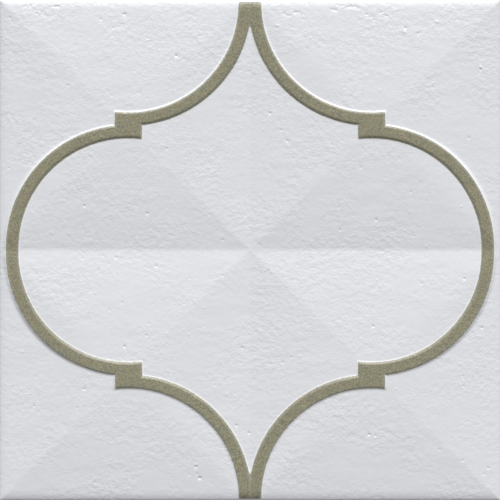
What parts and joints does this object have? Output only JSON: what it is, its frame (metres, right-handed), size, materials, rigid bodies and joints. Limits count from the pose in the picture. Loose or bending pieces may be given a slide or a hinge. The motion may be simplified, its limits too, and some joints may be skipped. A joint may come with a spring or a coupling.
{
  "type": "wall tile",
  "caption": "Square glazed wall tile with softly pillowed face, eased arris, raised lantern outline and a shallow waffle back for adhesive.",
  "frame": {"origin": "middle of the back, on the plane that the tile rests on", "axes": "+Z out of the glazed face, +Y up when the tile is on a wall, +X to the right when looking at the face"},
  "size_m": [0.2, 0.2, 0.009],
  "materials": {
    "white_glaze": "satin",
    "olive_glaze": "satin",
    "biscuit": "matte"
  },
  "bodies": {
    "root": {"wall_tile": "white_glaze"}
  },
  "joints": []
}
